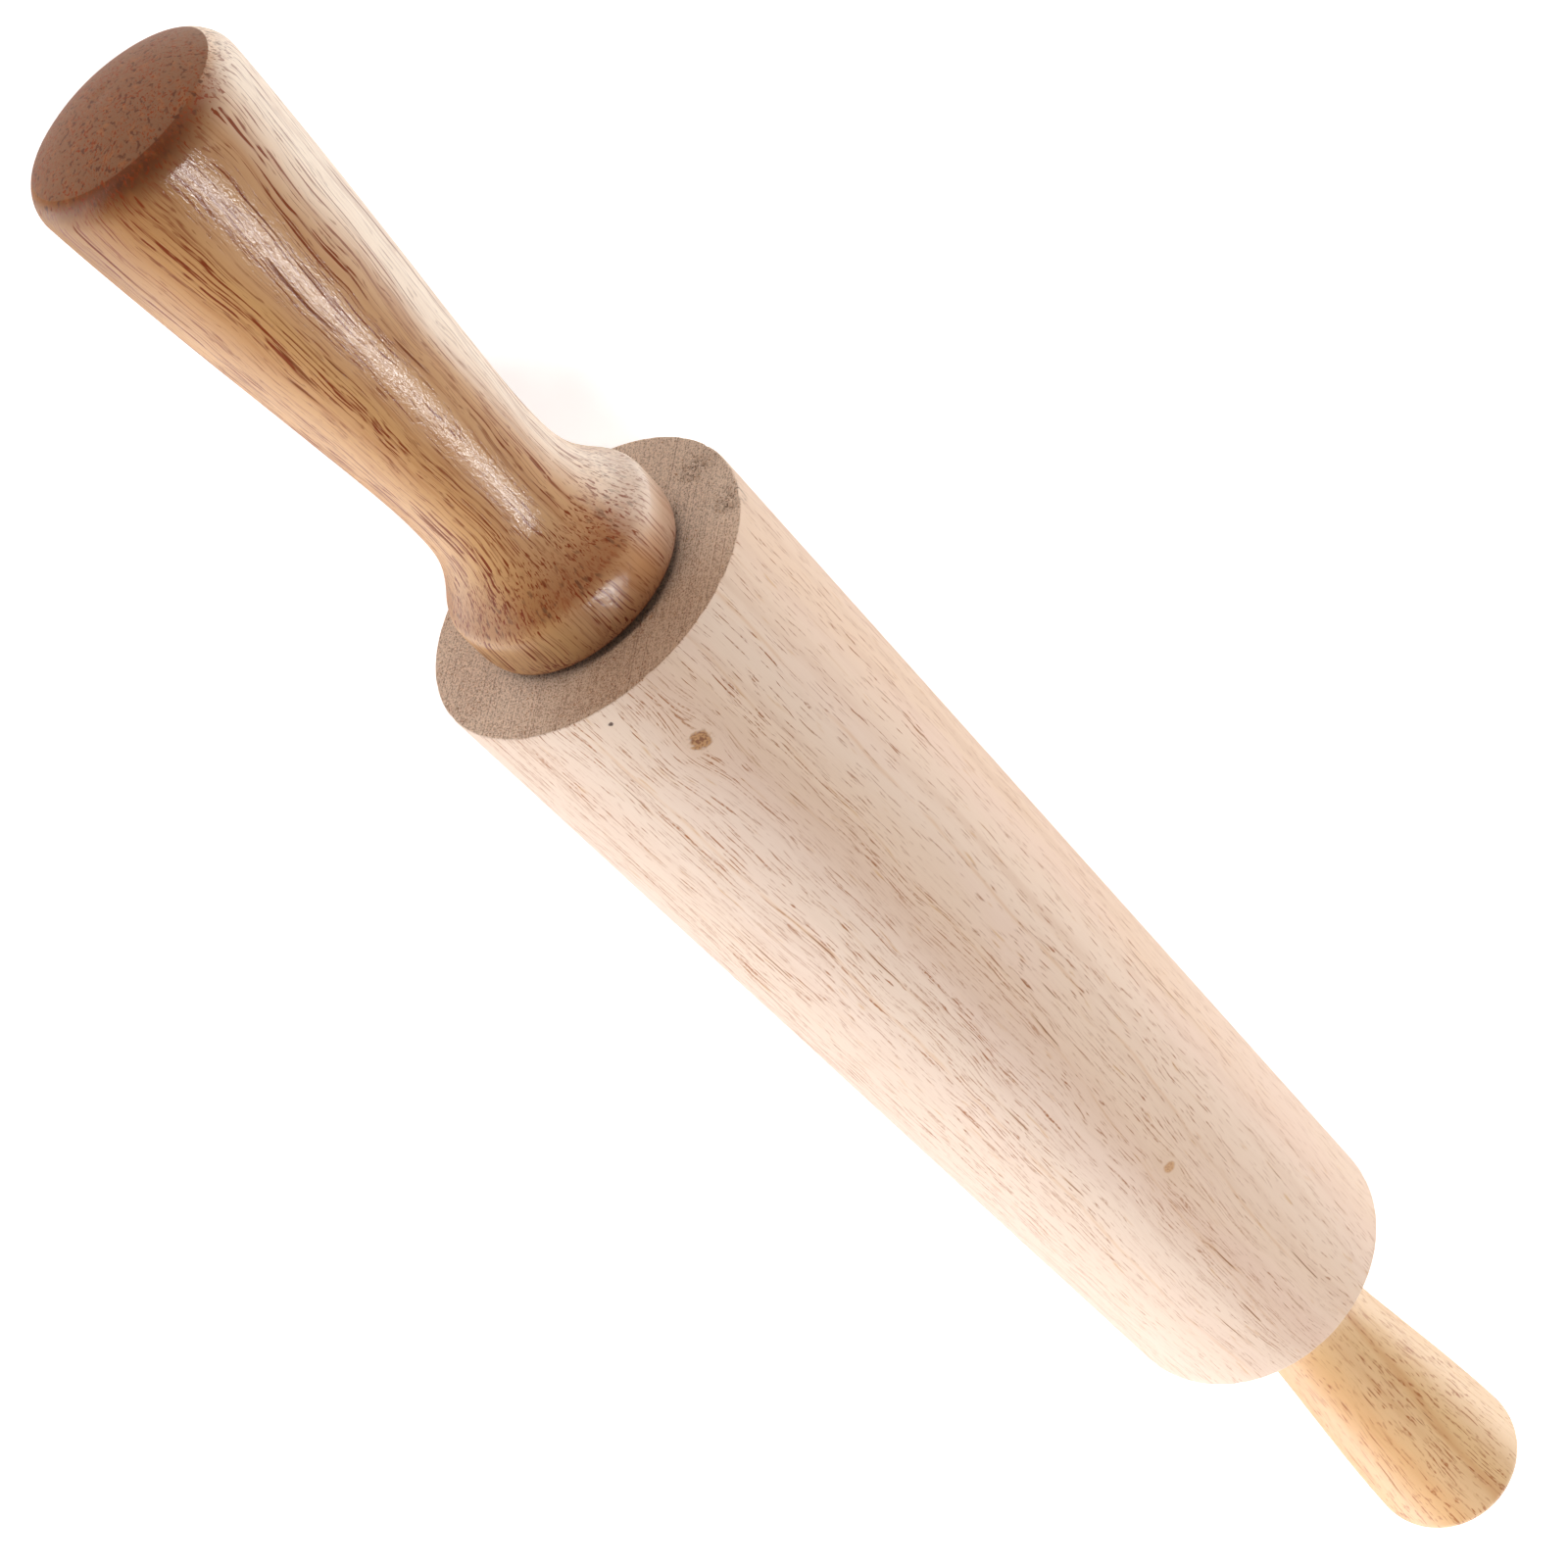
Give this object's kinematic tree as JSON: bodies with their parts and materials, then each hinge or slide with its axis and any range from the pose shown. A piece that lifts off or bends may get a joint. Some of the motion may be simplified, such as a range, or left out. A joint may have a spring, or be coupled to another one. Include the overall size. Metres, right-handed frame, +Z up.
{
  "type": "rolling pin",
  "caption": "Wooden rolling pin: a plain barrel that turns on shielded ball bearings round a steel axle, with turned, lacquered handles fixed at both ends.",
  "frame": {"origin": "middle of the barrel, on the axis that the barrel turns about", "axes": "+X along the axle towards the right handle, +Z up, +Y completes the right-handed frame"},
  "size_m": [0.491, 0.064, 0.064],
  "materials": {
    "barrel_wood": "unfinished sanded rubberwood, sawn end grain",
    "handle_wood": "rubberwood under clear gloss lacquer",
    "axle_steel": "turned bright steel rod",
    "bearing_steel": "ground bearing steel",
    "ball_steel": "polished bearing steel",
    "cage_steel": "pressed steel strip",
    "shield_steel": "pressed steel sheet",
    "washer_steel": "zinc plated",
    "insert_brass": "machined brass"
  },
  "bodies": {
    "handles_and_axle": {"axle_rod": "axle_steel", "left_handle": "handle_wood", "right_handle": "handle_wood", "left_insert": "insert_brass", "right_insert": "insert_brass", "left_spacer_washer": "washer_steel", "right_spacer_washer": "washer_steel", "left_bearing_inner_ring": "bearing_steel", "right_bearing_inner_ring": "bearing_steel"},
    "barrel": {"barrel": "barrel_wood", "left_bearing_outer_ring": "bearing_steel", "right_bearing_outer_ring": "bearing_steel", "left_inboard_shield": "shield_steel", "right_inboard_shield": "shield_steel", "left_outboard_shield": "shield_steel", "right_outboard_shield": "shield_steel"},
    "left_cage": {"left_bearing_balls": "ball_steel", "left_cage_inboard_half": "cage_steel", "left_cage_outboard_half": "cage_steel", "left_cage_rivets": "cage_steel"},
    "right_cage": {"right_bearing_balls": "ball_steel", "right_cage_inboard_half": "cage_steel", "right_cage_outboard_half": "cage_steel", "right_cage_rivets": "cage_steel"}
  },
  "joints": [
    {"name": "barrel_spin", "type": "hinge", "parent": "handles_and_axle", "child": "barrel", "pos_m": [0, 0, 0], "axis": [1, 0, 0], "continuous": true},
    {"name": "left_cage_spin", "type": "hinge", "parent": "handles_and_axle", "child": "left_cage", "pos_m": [-0.1225, 0, 0], "axis": [1, 0, 0], "continuous": true},
    {"name": "right_cage_spin", "type": "hinge", "parent": "handles_and_axle", "child": "right_cage", "pos_m": [0.1225, 0, 0], "axis": [1, 0, 0], "continuous": true}
  ],
  "couplings": [
    {"joint": "left_cage_spin", "follows": "barrel_spin", "ratio": 0.6323},
    {"joint": "right_cage_spin", "follows": "barrel_spin", "ratio": 0.6323}
  ]
}
